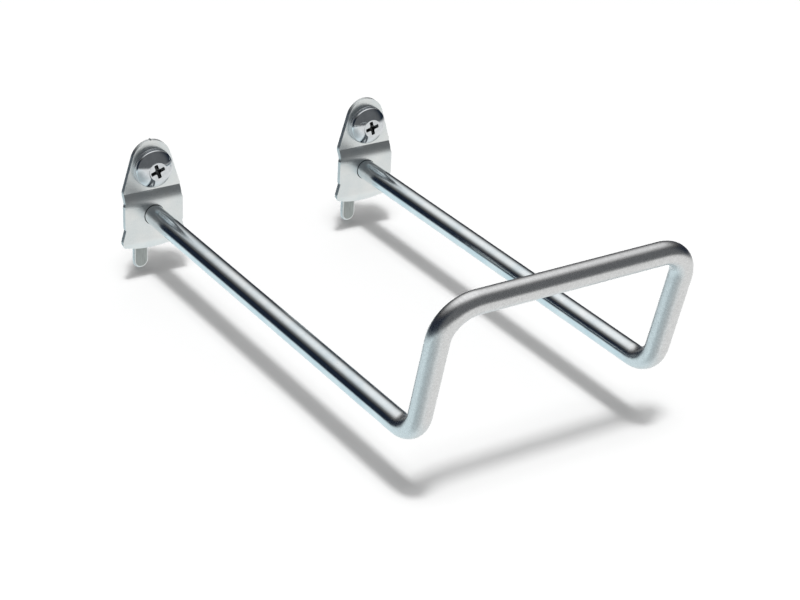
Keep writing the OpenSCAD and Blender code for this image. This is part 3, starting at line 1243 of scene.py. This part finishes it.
class PEGHOOK_OT_screws(bpy.types.Operator):
    """Builds the two truss-head screws"""

    bl_idname = "peghook.screws"
    bl_label = "Build Screws"

    def execute(self, context):
        scene = context.scene
        fastener = scene.peg_fastener
        zinc = scene.peg_colour.screw_zinc
        shiny = turned_finish("screw_zinc", zinc, 0.09, 0.004 * MM)
        # The recess walls get painted shade: a colour far darker than the head's zinc.
        dull = recess_shade_finish(scene.peg_colour)
        top = -SCREW_BOX[0].y
        turns = {"left": fastener.left_cross_turn, "right": fastener.right_cross_turn}
        for side in SIDES:
            work = lay_forward(screw_mesh(fastener))
            axis = screw_axis(side)
            piece = finished(f"{side}_truss_screw", work, [shiny, dull], axis)
            cutter_work = recess_cutter(fastener, top, turns[side])
            # The cutter's faces become the recess walls and take the painted shade.
            for face in cutter_work.faces:
                face.material_index = 1
            cutter = finished("cutter", lay_forward(cutter_work), [shiny, dull], axis)
            cut = piece.modifiers.new("recess", "BOOLEAN")
            cut.operation = "DIFFERENCE"
            cut.solver = "EXACT"
            cut.object = cutter
            apply_modifiers(context, piece)
            bpy.data.objects.remove(cutter)
            break_edges(piece, fastener.edge_r, 2, 50)
            joins(piece, f"{side}_screw", f"{side}_screw")
        return {"FINISHED"}


def apply_modifiers(context, piece):
    """Replaces a piece's mesh by what its modifiers make of it."""
    context.view_layer.update()
    graph = context.evaluated_depsgraph_get()
    final = bpy.data.meshes.new_from_object(piece.evaluated_get(graph))
    piece.modifiers.clear()
    piece.data = final


# ---- Studio ----


def camera_axes(studio):
    """The camera's own right, up and back directions."""
    a, e, roll = studio.azimuth, studio.elevation, studio.roll
    back = Vector(
        (math.sin(a) * math.cos(e), -math.cos(a) * math.cos(e), math.sin(e))
    )
    level = Vector((math.cos(a), math.sin(a), 0))
    upward = back.cross(level)
    right = level * math.cos(roll) + upward * math.sin(roll)
    return right, back.cross(right), back


def add_camera(studio):
    data = bpy.data.cameras.new("camera")
    data.sensor_width = 36
    data.lens = studio.lens
    data.clip_start, data.clip_end = 0.01, 50
    camera = bpy.data.objects.new("camera", data)
    right, upward, back = camera_axes(studio)
    turned = Matrix((right, upward, back)).transposed().to_4x4()
    place = Vector(studio.aim) + back * studio.distance
    camera.matrix_world = Matrix.Translation(place) @ turned
    bpy.context.scene.collection.objects.link(camera)
    bpy.context.scene.camera = camera


def add_floor(studio, colours):
    work = bmesh.new()
    bmesh.ops.create_grid(work, x_segments=8, y_segments=8, size=FLOOR_REACH)
    place = Vector((0, 0, -studio.floor_drop))
    floor = finished("floor", work, [floor_finish(colours)], place)
    floor.visible_glossy = False


def add_dome(studio):
    """A wide dome round the studio, seen only in the hook's reflections."""
    work = bmesh.new()
    bmesh.ops.create_icosphere(work, subdivisions=4, radius=DOME_RADIUS)
    dome = finished("surround_dome", work, [dome_finish(studio.softbox)])
    for ray in ("camera", "diffuse", "shadow", "transmission"):
        setattr(dome, f"visible_{ray}", False)


def add_key(studio):
    """A key light with a soft halo, high on the left and in front."""
    centre = (CAD_BOX[0] + CAD_BOX[1]) / 2
    towards = Vector(studio.key_way).normalized()
    for name, spread, part in (
        ("key_core", studio.key_spread, 1 - studio.halo_share),
        ("key_halo", studio.halo_spread, studio.halo_share),
    ):
        data = bpy.data.lights.new(name, "AREA")
        data.shape = "DISK"
        data.size = 2 * studio.key_distance * math.tan(spread / 2)
        data.energy = studio.key_strength * part
        key = bpy.data.objects.new(name, data)
        key.location = centre + towards * studio.key_distance
        key.rotation_euler = (-towards).to_track_quat("-Z", "Y").to_euler()
        key.visible_glossy = False
        bpy.context.scene.collection.objects.link(key)


def add_surround(studio):
    """Even white light from all round."""
    world = bpy.data.worlds.new("surround")
    world.use_nodes = True
    shade = world.node_tree.nodes["Background"]
    shade.inputs["Color"].default_value = (1, 1, 1, 1)
    shade.inputs["Strength"].default_value = studio.fill_strength
    bpy.context.scene.world = world


class PEGHOOK_OT_studio(bpy.types.Operator):
    """Sets up the floor, the lights and the camera"""

    bl_idname = "peghook.studio"
    bl_label = "Build Studio"

    def execute(self, context):
        scene = context.scene
        studio = scene.peg_studio
        add_camera(studio)
        add_floor(studio, scene.peg_colour)
        add_dome(studio)
        add_key(studio)
        add_surround(studio)
        scene.view_settings.view_transform = "Standard"
        return {"FINISHED"}


class PEGHOOK_PT_panel(bpy.types.Panel):
    """Lists the steps that build the hook"""

    bl_label = "Peg Board Hook"
    bl_idname = "PEGHOOK_PT_panel"
    bl_space_type = "VIEW_3D"
    bl_region_type = "UI"
    bl_category = "Peg Hook"

    def draw(self, context):
        column = self.layout.column(align=True)
        for step in STEPS:
            column.operator(step.bl_idname)
        for group in GROUPS:
            settings = getattr(context.scene, group)
            box = self.layout.box()
            for name in settings.bl_rna.properties.keys():
                if name not in ("rna_type", "name"):
                    box.prop(settings, name)


STEPS = (
    PEGHOOK_OT_rod_loop,
    PEGHOOK_OT_back_plates,
    PEGHOOK_OT_washers,
    PEGHOOK_OT_screws,
    PEGHOOK_OT_studio,
)
CLASSES = (*GROUPS.values(), *STEPS, PEGHOOK_PT_panel)


def register():
    for made in CLASSES:
        bpy.utils.register_class(made)
    for name, group in GROUPS.items():
        setattr(bpy.types.Scene, name, PointerProperty(type=group))


def unregister():
    for name in GROUPS:
        delattr(bpy.types.Scene, name)
    for made in reversed(CLASSES):
        bpy.utils.unregister_class(made)


def main():
    register()
    bpy.ops.peghook.rod_loop()
    bpy.ops.peghook.back_plates()
    bpy.ops.peghook.washers()
    bpy.ops.peghook.screws()
    bpy.ops.peghook.studio()


if __name__ == "__main__":
    main()
